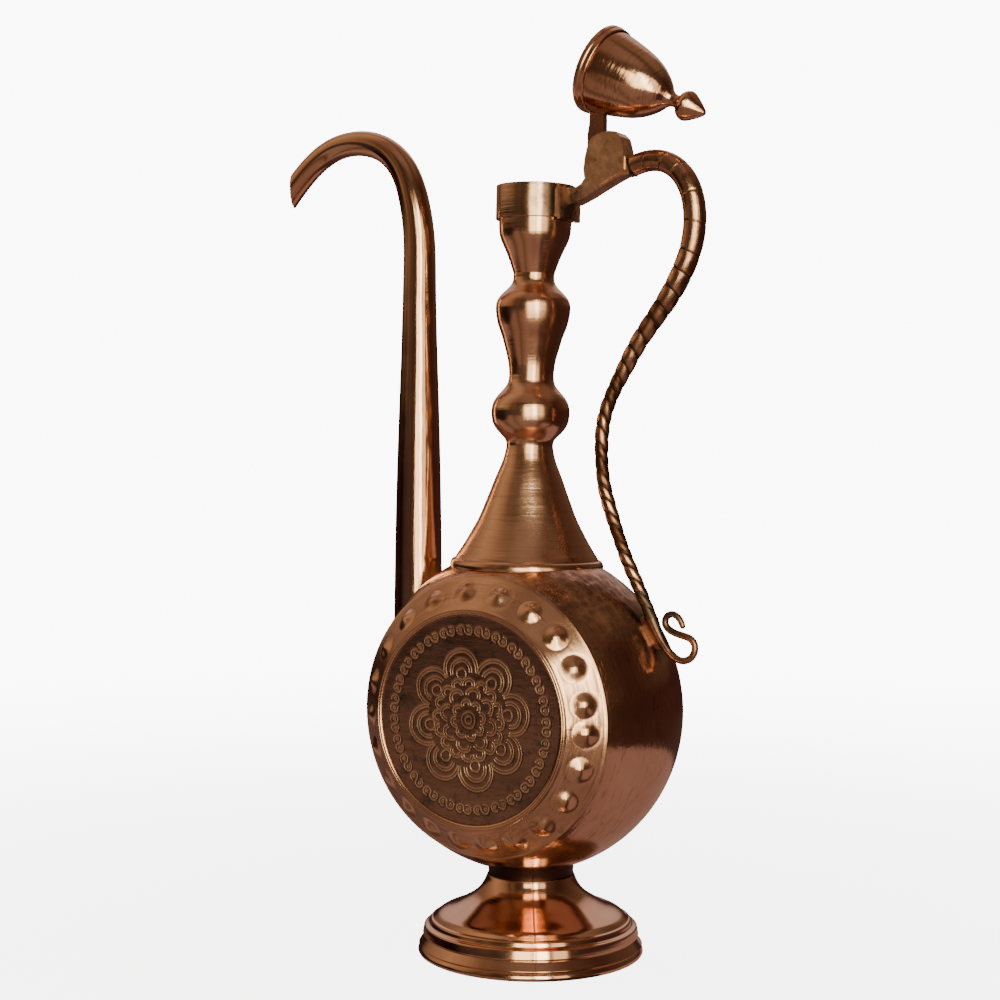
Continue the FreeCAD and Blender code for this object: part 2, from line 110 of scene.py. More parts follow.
def split_long(points, step, closed=False):
    """The same polyline with its long runs divided."""
    p = np.array(points, float)
    ends = np.roll(p, -1, 0) if closed else p[1:]
    out = []
    for a, b in zip(p, ends):
        parts = max(1, int(np.linalg.norm(b - a) / step))
        out += [a + (b - a) * k / parts for k in range(parts)]
    return np.array(out if closed else out + [p[-1]])


def side_normals(line, closed=False):
    """Unit normals on the right-hand side of a 2-D line."""
    if closed:
        d = np.roll(line, -1, 0) - np.roll(line, 1, 0)
    else:
        d = np.gradient(line, axis=0)
    d /= np.linalg.norm(d, axis=1)[:, None] + 1e-12
    return np.stack([d[:, 1], -d[:, 0]], 1)


def walled(outer, wall):
    """Closed (r, h) section of a sheet: the outer line and the same line set in by the wall."""
    inner = outer - side_normals(outer) * wall
    inner[:, 0] = np.maximum(inner[:, 0], 0.02)
    return np.concatenate([outer, inner[::-1]])


# ---- relief -------------------------------------------------------------------------------------
def dents(u, v, size_u, size_v, seed, period=None):
    """Overlapping hammer dents: squared distance to the nearest jittered cell centre."""
    rng = np.random.RandomState(seed)
    table = rng.rand(211, 223, 2) * 0.8 + 0.1
    a, b = u / size_u, v / size_v
    i, j = np.floor(a).astype(int), np.floor(b).astype(int)
    best = np.full(np.broadcast(a, b).shape, 9.0)
    for di in (-1, 0, 1):
        for dj in (-1, 0, 1):
            ci, cj = i + di, j + dj
            wrapped = ci % period if period else ci
            jitter = table[wrapped % 211, cj % 223]
            best = np.minimum(best, (ci + jitter[..., 0] - a) ** 2 + (cj + jitter[..., 1] - b) ** 2)
    return best


def ripple(u, v, seed, waves=9):
    """Gentle hand-worked unevenness of unit size, from a few seeded sine waves."""
    rng = np.random.RandomState(seed)
    total = 0
    for _ in range(waves):
        ku, kv, phase = rng.uniform(-1, 1), rng.uniform(-1, 1), rng.uniform(0, TAU)
        total = total + np.sin(ku * u + kv * v + phase)
    return total / waves


# ---- meshes -------------------------------------------------------------------------------------
def grid_object(name, grid, rows_closed, tool, sharp=40, groove=None, caps=False):
    """Mesh of a grid of points whose columns run right round.  Poles are merged, ends can be capped.
    tool holds each point's place along and round the piece, for the marks the tool left."""
    rows, cols = grid.shape[:2]
    index = np.arange(rows * cols).reshape(rows, cols)
    low = index if rows_closed else index[:-1]
    high = np.roll(index, -1, 0) if rows_closed else index[1:]
    quads = np.stack([low, np.roll(low, -1, 1), np.roll(high, -1, 1), high], -1).reshape(-1, 4)
    mesh = bpy.data.meshes.new(name)
    mesh.vertices.add(rows * cols)
    mesh.vertices.foreach_set("co", (grid.reshape(-1, 3) * MM).astype(np.float32).ravel())
    mesh.loops.add(len(quads) * 4)
    mesh.loops.foreach_set("vertex_index", quads.ravel().astype(np.int32))
    mesh.polygons.add(len(quads))
    mesh.polygons.foreach_set("loop_start", np.arange(0, len(quads) * 4, 4, dtype=np.int32))
    mesh.update(calc_edges=True)
    layer = mesh.attributes.new("groove", "FLOAT", "POINT")
    depth = np.zeros(rows * cols) if groove is None else groove.ravel()
    layer.data.foreach_set("value", depth.astype(np.float32))
    marks = mesh.attributes.new("tool", "FLOAT_VECTOR", "POINT")
    marks.data.foreach_set("vector", (tool.reshape(-1, 3) * MM).astype(np.float32).ravel())
    bm = bmesh.new()
    bm.from_mesh(mesh)
    if caps and not rows_closed:
        bm.verts.ensure_lookup_table()
        for row in (0, rows - 1):
            bm.faces.new([bm.verts[k] for k in index[row]])
    bmesh.ops.remove_doubles(bm, verts=bm.verts, dist=2e-6)
    bmesh.ops.recalc_face_normals(bm, faces=bm.faces)
    bm.to_mesh(mesh)
    bm.free()
    mesh.polygons.foreach_set("use_smooth", np.ones(len(mesh.polygons), bool))
    mesh.set_sharp_from_angle(angle=math.radians(sharp))
    made = bpy.data.objects.new(name, mesh)
    bpy.context.scene.collection.objects.link(made)
    return made


def spun(section, segments, place, relief=None):
    """Points of a section of revolution, (rows, segments, 3) after place(), its relief and tool marks."""
    theta = np.arange(segments) * TAU / segments
    normal = side_normals(section, closed=True)
    depth = np.zeros((len(section), segments))
    if relief is not None:
        depth = relief(section[:, :1], section[:, 1:], theta[None, :])
        depth = np.broadcast_to(depth, (len(section), segments))
    r = section[:, :1] + normal[:, :1] * depth
    h = section[:, 1:] + normal[:, 1:] * depth
    run = np.linalg.norm(section - np.roll(section, 1, 0), axis=1).cumsum()[:, None]
    round_it = ROUND_SHARE * section[:, :1]
    tool = np.stack(np.broadcast_arrays(round_it * np.cos(theta), round_it * np.sin(theta), run), -1)
    return place(r, h, theta[None, :]), depth, tool


def upright(r, h, theta):
    """Turned about the vertical."""
    return np.stack([r * np.cos(theta), r * np.sin(theta), np.broadcast_to(h, (len(h), theta.size))], -1)


def turn_y(points, centre, angle):
    """Turns points about a Y axis through the centre."""
    d = points - centre
    c, s = math.cos(angle), math.sin(angle)
    return centre + np.stack([d[..., 0] * c + d[..., 2] * s, d[..., 1],
                              -d[..., 0] * s + d[..., 2] * c], -1)


def leaned(r, h, theta):
    """Turned about the leaning axis of the neck."""
    points = upright(r, h, theta) + np.array([NECK_FOOT[0], 0, 0])
    return turn_y(points, NECK_FOOT, NECK_LEAN)


def swung(r, h, theta):
    """Turned about the lid's axis, and the lid swung open."""
    return turn_y(leaned(r, h + MOUTH_TOP_Z + LID_GAP, theta), HINGE, LID_OPEN)


def about_drum(r, h, theta):
    """Turned about the drum's own axis; h runs along Y."""
    return np.stack([r * np.cos(theta), np.broadcast_to(h, (len(h), theta.size)),
                     r * np.sin(theta)], -1) + BODY_C


def finished(made, material, slot, body, *nodes):
    """Gives a new piece its material, hangs it on its body and hides the CAD nodes that it stands for."""
    made.data.materials.append(material)
    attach(made, body)
    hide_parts(*nodes)
    return made


def turned_piece(node, section, segments, place, material, slot, body="jug", relief=None, sharp=40):
    """Piece of revolution that stands for one CAD node."""
    grid, depth, tool = spun(np.array(section, float), segments, place, relief)
    made = grid_object(node + "_look", grid, True, tool, sharp, np.clip(-depth, 0, None))
    return finished(made, material, slot, body, node)


# ---- materials ----------------------------------------------------------------------------------
def node(tree, kind, inputs=None, **settings):
    made = tree.nodes.new("ShaderNode" + kind)
    for key, value in settings.items():
        setattr(made, key, value)
    for key, value in (inputs or {}).items():
        if isinstance(value, bpy.types.NodeSocket):
            tree.links.new(value, made.inputs[key])
        else:
            made.inputs[key].default_value = value
    return made


def ramp(tree, factor, stops):
    made = node(tree, "ValToRGB", {"Fac": factor})
    elements = made.color_ramp.elements
    while len(elements) < len(stops):
        elements.new(0.5)
    for element, (position, colour) in zip(elements, stops):
        element.position = position
        element.color = (*colour, 1) if len(colour) == 3 else colour
    return made.outputs["Color"]


def blended(tree, lower, upper, amount):
    """Mix of two colours, each a socket or three numbers."""
    mixed = node(tree, "Mix", data_type="RGBA")
    for key, value in ((0, amount), (6, lower), (7, upper)):
        if isinstance(value, tuple):
            mixed.inputs[key].default_value = (*value, 1)
        else:
            tree.links.new(value, mixed.inputs[key])
    return mixed.outputs[2]


BURNT = (0.12, 0.085, 0.07)
HANDLE_START = (45.5, 0.0, 326.1)


def metal(name, bright, deep, tarnish, rough, line_scale=900, line_bump=0.04, blotch=28, spot=160,
          tarnish_from=0.62, groove_dark=1.0, wave_bump=0.0, cast=False, dashes=1.0, line_dark=0.0,
          groove_tint=None, stain=()):
    """Worked metal: colour drifts between bright and deep, tarnish gathers in blotches and grooves,
    and fine lines follow the tool round a turned piece or along a drawn one.  stain lists the
    middle and reach, in millimetres, of burnt patches beside soldered joints."""
    material = bpy.data.materials.new(name)
    material.use_nodes = True
    tree = material.node_tree
    tree.nodes.clear()
    out = node(tree, "OutputMaterial")
    shader = node(tree, "BsdfPrincipled", {"Metallic": 1.0})
    tree.links.new(shader.outputs["BSDF"], out.inputs["Surface"])
    place = node(tree, "TexCoord").outputs["Object"]
    drift = node(tree, "TexNoise", {"Vector": place, "Scale": blotch, "Detail": 4.0,
                                    "Roughness": 0.55, "Distortion": 0.6}).outputs["Fac"]
    colour = ramp(tree, drift, [(0.3, deep), (0.62, bright)])
    spots = node(tree, "TexNoise", {"Vector": place, "Scale": spot, "Detail": 5.0,
                                    "Roughness": 0.6}).outputs["Fac"]
    patch = node(tree, "MapRange", {"Value": spots, "From Min": tarnish_from,
                                    "From Max": tarnish_from + 0.2}).outputs["Result"]
    aged = blended(tree, colour, tarnish, patch)
    path = place if cast else node(tree, "Attribute", attribute_name="tool").outputs["Vector"]
    path = node(tree, "Mapping", {"Vector": path, "Scale": (dashes, dashes, 1)}).outputs["Vector"]
    fine = node(tree, "TexNoise", {"Vector": path, "Scale": line_scale, "Detail": 3.0,
                                   "Roughness": 0.6}).outputs["Fac"]
    if line_dark:
        scored = node(tree, "MapRange", {"Value": fine, "From Min": 0.56, "From Max": 0.72,
                                         "To Max": line_dark}).outputs["Result"]
        aged = blended(tree, aged, tarnish, scored)
    # groove darkening: oxide in hollows, and painted shade in the foot's joint under the drum and along
    # the handle's twist
    groove = node(tree, "Attribute", attribute_name="groove").outputs["Fac"]
    hollow = node(tree, "MapRange", {"Value": groove, "From Min": 0.03, "From Max": 0.25,
                                     "To Max": groove_dark}).outputs["Result"]
    dark = blended(tree, aged, groove_tint or tuple(0.2 * c for c in tarnish), hollow)
    for centre, reach in stain:
        away = node(tree, "VectorMath", {0: place, 1: [MM * c for c in centre]},
                    operation="DISTANCE").outputs["Value"]
        ragged = node(tree, "Math", {0: spots, 1: 0.016, 2: away}, operation="MULTIPLY_ADD").outputs[0]
        burnt = node(tree, "MapRange", {"Value": ragged, "From Min": MM * reach + 0.010,
                                        "From Max": MM * reach + 0.004, "To Max": 0.85}).outputs[0]
        dark = blended(tree, dark, BURNT, burnt)
    tree.links.new(dark, shader.inputs["Base Color"])
    smudge = node(tree, "TexNoise", {"Vector": place, "Scale": blotch * 2.3, "Detail": 6.0,
                                     "Roughness": 0.65}).outputs["Fac"]
    rough_now = node(tree, "MapRange", {"Value": smudge, "From Min": 0.35, "From Max": 0.7,
                                        "To Min": rough[0], "To Max": rough[1]}).outputs["Result"]
    rougher = node(tree, "Math", {0: hollow, 1: 0.3}, operation="MULTIPLY").outputs[0]
    summed = node(tree, "Math", {0: rough_now, 1: rougher}, operation="ADD").outputs[0]
    tree.links.new(summed, shader.inputs["Roughness"])
    bump = node(tree, "Bump", {"Height": fine, "Strength": line_bump, "Distance": 0.0004})
    last = bump
    if wave_bump:
        waves = node(tree, "TexNoise", {"Vector": place, "Scale": 120.0, "Detail": 2.0}).outputs["Fac"]
        last = node(tree, "Bump", {"Height": waves, "Strength": wave_bump, "Distance": 0.001,
                                   "Normal": bump.outputs["Normal"]})
    tree.links.new(last.outputs["Normal"], shader.inputs["Normal"])
    return material


COPPER, RUDDY, OXIDE = (0.86, 0.55, 0.38), (0.76, 0.42, 0.28), (0.28, 0.12, 0.08)
spun_copper = metal("spun_copper", COPPER, RUDDY, OXIDE, rough=(0.16, 0.25),
                    line_scale=800, line_bump=0.22, tarnish_from=0.66, line_dark=0.15)
cone_copper = metal("cone_copper", COPPER, RUDDY, OXIDE, rough=(0.20, 0.30),
                    line_scale=1000, line_bump=0.2, tarnish_from=0.66, line_dark=0.28)
bell_copper = metal("bell_copper", COPPER, (0.68, 0.36, 0.24), OXIDE, rough=(0.11, 0.20),
                    line_scale=900, line_bump=0.28, tarnish_from=0.60, line_dark=0.35)
# its groove darkening also paints the shade in the gap under the drum
foot_copper = metal("foot_copper", COPPER, RUDDY, OXIDE, rough=(0.09, 0.16),
                    line_scale=1100, line_bump=0.1, tarnish_from=0.70)
band_copper = metal("band_copper", COPPER, RUDDY, OXIDE, rough=(0.09, 0.16),
                    line_scale=700, line_bump=0.3, tarnish_from=0.66, wave_bump=0.02, dashes=6.0,
                    line_dark=0.45, stain=[((56.0, 0.0, 138.0), 11.0)])
dish_copper = metal("dish_copper", COPPER, (0.70, 0.40, 0.26), OXIDE, rough=(0.18, 0.28),
                    line_scale=380, line_bump=0.35, tarnish_from=0.64, wave_bump=0.06, dashes=3.0,
                    line_dark=0.4)
# disc copper painted darker than the rest, a painted reflection of the dark room; its cuts are painted
# light, painted highlights along the graver's lines
engraved = metal("engraved_disc", (0.53, 0.32, 0.24), (0.36, 0.22, 0.17), (0.13, 0.13, 0.12),
                 rough=(0.15, 0.28), line_scale=500, line_bump=0.2, blotch=22, tarnish_from=0.54,
                 groove_dark=0.9, groove_tint=(0.98, 0.66, 0.49))
mouth_bronze = metal("mouth_bronze", (0.78, 0.54, 0.37), (0.60, 0.39, 0.26), (0.3, 0.17, 0.11),
                     rough=(0.15, 0.25), line_scale=700, line_bump=0.4, line_dark=0.4,
                     stain=[((15.5, -8.0, 314.0), 9.0)])
cast_brass = metal("cast_brass", (1.0, 0.65, 0.45), (0.84, 0.50, 0.33), (0.30, 0.19, 0.12),
                   rough=(0.28, 0.44), line_scale=420, line_bump=0.35, blotch=90, spot=260,
                   tarnish_from=0.56, wave_bump=0.3, cast=True,
                   stain=[((15.0, -9.0, 311.0), 12.0), (HANDLE_START, 4.5)])
strap_copper = metal("strap_copper", (0.6, 0.33, 0.23), (0.4, 0.2, 0.14), (0.2, 0.1, 0.075),
                     rough=(0.25, 0.4), line_scale=500, line_bump=0.3, cast=True)
# its dark groove tint also paints the shade between the lit crests of the handle's twist
tube_copper = metal("tube_copper", (0.80, 0.49, 0.33), (0.54, 0.29, 0.20), OXIDE,
                    rough=(0.14, 0.26), line_scale=500, line_bump=0.3, tarnish_from=0.54, dashes=1.5,
                    line_dark=0.2, groove_tint=(0.10, 0.045, 0.03),
                    stain=[((57.0, 0.0, 143.0), 15.0)])
spout_copper = metal("spout_copper", COPPER, RUDDY, OXIDE, rough=(0.10, 0.18),
                     line_scale=500, line_bump=0.2, tarnish_from=0.68)


# ---- foot ---------------------------------------------------------------------------------------
SEAM_AT = math.radians(-57.0)       # brazed seam of the foot, facing front right
SEAM_DEPTH, SEAM_HALF = 0.09, 0.17
JOINT_Z = 32.9                      # from here up the waist is painted dark: shade in the gap under the drum, and solder
JOINT_DEPTH = 0.35                  # deep enough to count as a dark groove, which paints that shade


def foot_marks(r, h, theta):
    """Hair-thin brazed seam that runs up the foot, and the joint under the drum, sunk and painted dark as
    shade and solder.
    """
    off = np.abs((theta - SEAM_AT + math.pi) % TAU - math.pi) * r
    joint = np.clip((h - JOINT_Z) / 0.8, 0, 1)
    return -SEAM_DEPTH * np.exp(-(off / SEAM_HALF) ** 2) * (h > 4.0) - JOINT_DEPTH * joint


def foot():
    rim = eased([(43.8, 0), (45.8, 0), (46.9, 0.6), (47.4, 1.5), (47.2, 2.4), (46.7, 3.3),
                 (46.1, 4.1), (45.9, 4.1), (45.9, 3.2), (43.8, 3.2)], 0.3, closed=True)
    turned_piece("foot_rim_ring", rim, 360, upright, foot_copper, "polished_copper")
    steps = eased([(45.9, 3.2), (45.9, 4.1), (47.1, 4.2), (44.4, 7.8), (45.0, 8.0), (45.4, 8.5),
                   (44.8, 11.8), (44.4, 12.2), (43.2, 12.5), (42.5, 12.8), (42.2, 14.3),
                   (41.8, 14.8), (41.0, 15.0), (40.2, 15.7), (39.0, 16.8)], 0.25)
    ogee = smooth([(39.0, 16.8), (37.8, 17.5), (35.8, 18.4), (32.6, 19.7), (29.3, 21.4),
                   (25.9, 23.4), (23.2, 25.4), (21.3, 27.4), (19.9, 29.5), (18.9, 31.6),
                   (18.3, 33.6), (18.3, 36.0), (18.7, 39.0)], 0.6)
    under = ogee[::-1] - np.array([0.85, 0.7])
    inside = np.array([(37.0, 12.6), (40.6, 7.2), (43.2, 3.2)])
    section = np.concatenate([steps, ogee[1:], under, inside])
    turned_piece("foot_shell", section, 1200, upright, foot_copper, "polished_copper",
                 relief=foot_marks)


# ---- drum ---------------------------------------------------------------------------------------
FACETS, SMALL_FACETS = 72, 150          # hammer dents in one row round the drum
BOSS_EASE = 1.1                         # how far a boss's soft edge runs past its radius


def band_relief(r, h, theta):
    """Planished side: shallow overlapping dents in rows round the drum, none inside."""
    outside = r > CREASE_R + (DRUM_R - CREASE_R) * (1 - (h / CREASE_Y) ** 2) - 0.45
    facets = dents(theta / TAU * FACETS, h, 1.0, 4.2, 11, period=FACETS)
    small = dents(theta / TAU * SMALL_FACETS, h, 1.0, 2.1, 12, period=SMALL_FACETS)
    worked = 0.10 + 1.2 * np.exp(-((theta - math.radians(54)) / 0.34) ** 2) \
        + 0.4 * np.exp(-((theta - math.radians(190)) / 0.8) ** 2)
    return outside * (worked * (0.16 * np.minimum(facets, 0.5) + 0.09 * np.minimum(small, 0.5) - 0.13)
                      + 0.03 * ripple(theta * 14, h * 0.25, 5) - 0.04)


def band():
    y = np.linspace(-CREASE_Y, CREASE_Y, 120)
    sag = DRUM_R - CREASE_R
    rho = (CREASE_Y ** 2 + sag ** 2) / (2 * sag)
    r = DRUM_R - rho + np.sqrt(rho ** 2 - y ** 2)
    outer = np.stack([r, y], 1)
    section = np.concatenate([outer, (outer - np.array([SHEET, 0]))[::-1]])
    turned_piece("body_band", section, 860, about_drum, band_copper, "hammered_copper",
                 relief=band_relief)


def boss_angles():
    """Bosses punched by eye: even steps, as in the CAD, with a slow drift in degrees round the ring."""
    count = np.arange(BOSS_COUNT)
    drift = np.interp(count, [0, 3, 9, 12, 17, 21], [-2.0, -1.5, 6.9, 5.6, 1.3, 1.6])
    return np.radians(BOSS_PHASE + 360 / BOSS_COUNT * count + drift)


def dish(side, node_name):
    rim = MEDALLION_R + BEAD_W
    slope = math.atan2(CREASE_R - rim, FACE_Y - CREASE_Y)
    face = split_long([(CREASE_R - 0.4, CREASE_Y + 1.3), (rim, FACE_Y)], 0.3)
    lip = eased([(CREASE_R - SHEET, CREASE_Y), (CREASE_R + SEAM_H, CREASE_Y),
                 (CREASE_R + SEAM_H, CREASE_Y + 0.8)], 0.2)
    swell = np.linspace(0, 1, 29)
    bead = np.stack([rim - BEAD_W * swell, FACE_Y + BEAD_H * np.sin(math.pi * swell) ** 0.7
                     * (0.55 + 0.45 * np.abs(np.cos(math.pi * swell)) ** 0.8)], 1)
    seat = FACE_Y - SHEET
    tail = np.array([(MEDALLION_R, seat), (39.2, seat), (39.2, seat - SHEET), (rim - 0.8, seat - SHEET),
                     (CREASE_R - SHEET - 0.4, CREASE_Y + 0.6)])
    section = np.concatenate([lip, face, bead[1:], tail])
    mid_r, mid_y = (CREASE_R + rim) / 2 - 0.2, (CREASE_Y + FACE_Y) / 2 + 0.2
    angles = boss_angles()
    along_slope = np.array([math.sin(slope), -math.cos(slope)])

    def relief(r, h, theta):
        on_face = (h > CREASE_Y + 1.2) & (h < FACE_Y + 0.02) & (r > rim - 0.01)
        climb = (r - mid_r) * along_slope[0] + (h - mid_y) * along_slope[1]
        raised = np.zeros((len(r), theta.size))
        for a in angles:
            arc = ((theta - a + math.pi) % TAU - math.pi) * r
            d = np.hypot(arc, climb)
            cap = BOSS_H * np.cos(np.clip(d / (BOSS_R + BOSS_EASE), 0, 1) * math.pi / 2) ** 2
            moat = -0.05 * np.exp(-((d - BOSS_R - 0.9) / 0.8) ** 2)
            raised += cap + moat
        uneven = 0.05 * ripple(theta * 22, h * 0.5, 21)
        return np.where(on_face, raised + uneven, 0)

    def place(r, h, theta):
        return about_drum(r, side * h, theta)

    turned_piece(node_name, section, 1100, place, dish_copper, "polished_copper", relief=relief)


def stroke(distance, half_width=0.36):
    """Depth profile of a graver's cut, from the distance to its line."""
    return np.exp(-(distance / half_width) ** 2)


def rosette(x, z):
    """Engraving of the disc: an eight-lobed flower of nested arcs and a border of running curls."""
    r, theta = np.hypot(x, z), np.arctan2(z, x)
    cut = np.zeros_like(x)

    def arcs(count, ring_r, radii, phase, reach):
        """Arcs about points spread round a ring, open towards the middle."""
        nonlocal cut
        for k in range(count):
            a = phase + TAU * k / count
            dx, dz = x - ring_r * math.cos(a), z - ring_r * math.sin(a)
            outward = np.abs((np.arctan2(dz, dx) - a + math.pi) % TAU - math.pi)
            for radius in radii:
                line = stroke(np.hypot(dx, dz) - radius)
                cut = np.maximum(cut, line * (outward < reach))

    turn = math.radians(10)
    arcs(8, 20.4, (8.2, 7.1), turn, 1.9)
    arcs(8, 19.6, (5.2, 4.1), turn, 1.8)
    arcs(8, 18.6, (2.2,), turn, 3.2)
    arcs(16, 14.2, (2.7, 1.6), turn + math.pi / 16, 1.8)
    arcs(8, 10.0, (3.4, 2.2), turn + math.pi / 8, 1.7)
    arcs(8, 6.0, (2.3, 1.2), turn, 1.8)
    for radius in (1.5, 3.2):
        cut = np.maximum(cut, stroke(r - radius))
    curls, curl_r, border_r = 27, 1.75, 36.0
    for k in range(curls):
        a = TAU * k / curls
        dx, dz = x - border_r * math.cos(a), z - border_r * math.sin(a)
        near = np.hypot(dx, dz) < 6
        across = -dx * math.sin(a) + dz * math.cos(a)
        outward = dx * math.cos(a) + dz * math.sin(a)
        for way in (-1, 1):
            e, f = way * across - curl_r, way * outward
            ring_line = stroke(np.hypot(e, f) - curl_r, 0.4)
            open_side = np.arctan2(f, e)
            hook = (open_side > -2.0) | (np.abs(e + curl_r) < 0.2)
            cut = np.maximum(cut, ring_line * hook * near)
            cut = np.maximum(cut, stroke(np.hypot(e - 0.2, f) - 0.55, 0.34) * near)
    return cut


def medallion(side, node_name):
    rings = np.concatenate([np.linspace(0.05, 4, 16)[:-1], np.linspace(4, MEDALLION_R - 0.25, 185)])
    segments = 960
    theta = np.arange(segments) * TAU / segments
    r = rings[:, None]
    x, z = r * np.cos(theta), r * np.sin(theta)
    wander = 0.35 * ripple(x * 0.3, z * 0.3, 32), 0.35 * ripple(x * 0.3, z * 0.3, 33)
    depth = 0.2 * rosette(x * -side + wander[0], z + wander[1])
    uneven = 0.28 * ripple(x * 0.11, z * 0.11, 31) * np.clip((MEDALLION_R - r) / 8, 0, 1)
    face = FACE_Y - depth - 0.12 + uneven
    rim_r = np.array([MEDALLION_R - 0.08, MEDALLION_R, MEDALLION_R, 0.05])[:, None]
    rim_h = np.array([FACE_Y - 0.06, FACE_Y - 0.2, FACE_Y - SHEET, FACE_Y - SHEET])[:, None]
    all_r = np.concatenate([np.broadcast_to(r, depth.shape), np.broadcast_to(rim_r, (4, theta.size))])
    all_h = np.concatenate([face, np.broadcast_to(rim_h, (4, theta.size))])
    grid = np.stack([all_r * np.cos(theta), side * all_h, all_r * np.sin(theta)], -1) + BODY_C
    groove = np.concatenate([np.clip(depth, 0, None), np.zeros((4, theta.size))])
    tool = np.stack(np.broadcast_arrays(grid[..., 0] * 0.2, grid[..., 2] * 0.6, 0), -1)
    made = grid_object(node_name + "_look", grid, True, tool, 50, groove)
    finished(made, engraved, "engraved_copper", "jug", node_name)


# ---- neck ---------------------------------------------------------------------------------------
def neck():
    def uneven(seed, size):
        return lambda r, h, theta: size * ripple(theta * 3, h * 0.2, seed)

    cone = smooth([(31.6, 157.0), (31.1, 162.0), (30.4, 165.2), (28.0, 169.3), (25.5, 173.5),
                   (23.2, 177.6), (21.0, 181.8), (19.2, 186.0), (17.6, 190.2), (15.9, 194.6),
                   (14.3, 199.0), (12.6, 203.2), (11.0, 207.4), (10.2, 210.6), (9.8, 213.5),
                   (9.8, 214.3)], 0.7)
    turned_piece("neck_cone", walled(cone, SHEET), 300, leaned, cone_copper, "turned_copper",
                 relief=uneven(41, 0.05))
    ring = eased([(29.0, 160.8), (31.6, 160.8), (32.2, 161.9), (32.3, 163.4), (31.8, 164.8),
                  (31.0, 165.6), (29.0, 165.6)], 0.5, closed=True)
    turned_piece("neck_base_ring", ring, 240, leaned, spun_copper, "polished_copper")
    bulb = smooth([(9.8, 213.5), (10.2, 215.2), (12.0, 217.4), (14.2, 219.8), (15.8, 222.6),
                   (16.4, 226.0), (16.3, 229.0), (15.3, 232.0), (13.3, 234.8), (11.2, 237.2),
                   (9.8, 239.6), (9.4, 242.5), (9.3, 243.3)], 0.4)
    turned_piece("neck_bulb", walled(bulb, SHEET), 260, leaned, spun_copper, "turned_copper",
                 relief=uneven(42, 0.04))
    vase = smooth([(9.4, 242.5), (9.7, 246.6), (10.4, 250.2), (11.6, 254.6), (12.9, 259.0),
                   (14.5, 263.4), (15.4, 267.4), (15.7, 270.6), (15.2, 273.6), (13.3, 276.4),
                   (10.7, 279.0), (9.1, 281.2), (8.6, 283.2), (8.6, 285), (8.5, 285.8)], 0.4)
    turned_piece("neck_vase", walled(vase, SHEET), 260, leaned, spun_copper, "turned_copper",
                 relief=uneven(43, 0.04))
    cup = smooth([(8.6, 285.0), (9.4, 287.4), (10.6, 290.8), (12.1, 294.4), (13.7, 297.8),
                  (14.7, 300.6), (15.1, 303.6), (15.24, 307.3), (15.24, 311.0)], 0.4)
    turned_piece("neck_cup", walled(cup, SHEET), 260, leaned, spun_copper, "turned_copper",
                 relief=uneven(44, 0.03))
    band_section = eased([(15.3, MOUTH_BOTTOM_Z), (MOUTH_R, MOUTH_BOTTOM_Z), (MOUTH_R, MOUTH_TOP_Z),
                          (MOUTH_BORE_R, MOUTH_TOP_Z), (MOUTH_BORE_R, 311.2), (15.3, 311.2)],
                         0.3, closed=True)
    turned_piece("mouth_band", band_section, 300, leaned, mouth_bronze, "turned_bronze")


# ---- swept tubes --------------------------------------------------------------------------------
def sweep(path, radii, sides, wall=0.0, relief=None, trim=None):
    """Points of a tube along an XZ path, (rings, sides, 3), and its relief.  trim(points) says which
    points lie beyond the cut; each line along the tube then ends on the cut."""
    line = np.array(path)
    run = np.concatenate([[0], np.cumsum(np.linalg.norm(np.diff(line, axis=0), axis=1))])
    phi = np.arange(sides) * TAU / sides
    knots = np.linspace(0, run[-1], len(radii))
    tangent = np.gradient(line, axis=0)
    tangent /= np.linalg.norm(tangent, axis=1)[:, None]
    normal = np.stack([-tangent[:, 1], tangent[:, 0]], 1)

    def at(s, angle):
        radius = np.interp(s, knots, radii) - wall
        depth = relief(s, angle, radius) if relief else 0 * s * angle
        radius = radius + depth
        c = [np.interp(s, run, line[:, k]) for k in (0, 1)]
        n = [np.interp(s, run, normal[:, k]) for k in (0, 1)]
        out = radius * np.cos(angle)
        points = np.stack([c[0] + n[0] * out, radius * np.sin(angle), c[1] + n[1] * out], -1)
        tool = np.stack([0.05 * s, radius * np.cos(angle), radius * np.sin(angle)], -1)
        return points, depth, tool

    s = np.broadcast_to(run[:, None], (len(run), sides))
    angle = np.broadcast_to(phi[None, :], s.shape)
    points, depth, tool = at(s, angle)
    if trim is not None:
        beyond = trim(points)
        first = np.where(beyond.any(0), beyond.argmax(0), len(run) - 1)
        share = np.linspace(0, 1, len(run))[:, None]
        ends = run[np.clip(first, 1, None)][None, :]
        points, depth, tool = at(share * ends, angle)
    return points, depth, tool


def tube_piece(node, outer, inner, material, slot, scored=True):
    """Hollow tube from its outer and inner sweeps, both from start to end."""
    grid = np.concatenate([outer[0], inner[0][::-1]])
    groove = np.clip(-outer[1], 0, None) * scored
    tool = np.concatenate([outer[2], inner[2][::-1]])
    made = grid_object(node + "_look", grid, True, tool, 55, np.concatenate([groove, 0 * inner[1]]))
    return finished(made, material, slot, "jug", node)


SPOUT_PATH = [(-57.9, 110.0), (-57.9, 150.0), (-57.9, 190.0), (-57.9, 245.0), (-57.9, 285.0),
              (-58.3, 304.0), (-61.2, 320.5), (-67.8, 335.4), (-78.9, 344.4), (-92.1, 347.4),
              (-105.1, 345.4), (-116.1, 339.3), (-126.9, 329.4), (-134.9, 320.6)]
SPOUT_RADII = [10.5, 10.5, 10.3, 10.0, 9.5, 8.8, 8.0, 7.4, 7.0, 6.5, 5.8, 5.4, 5.2, 5.0]


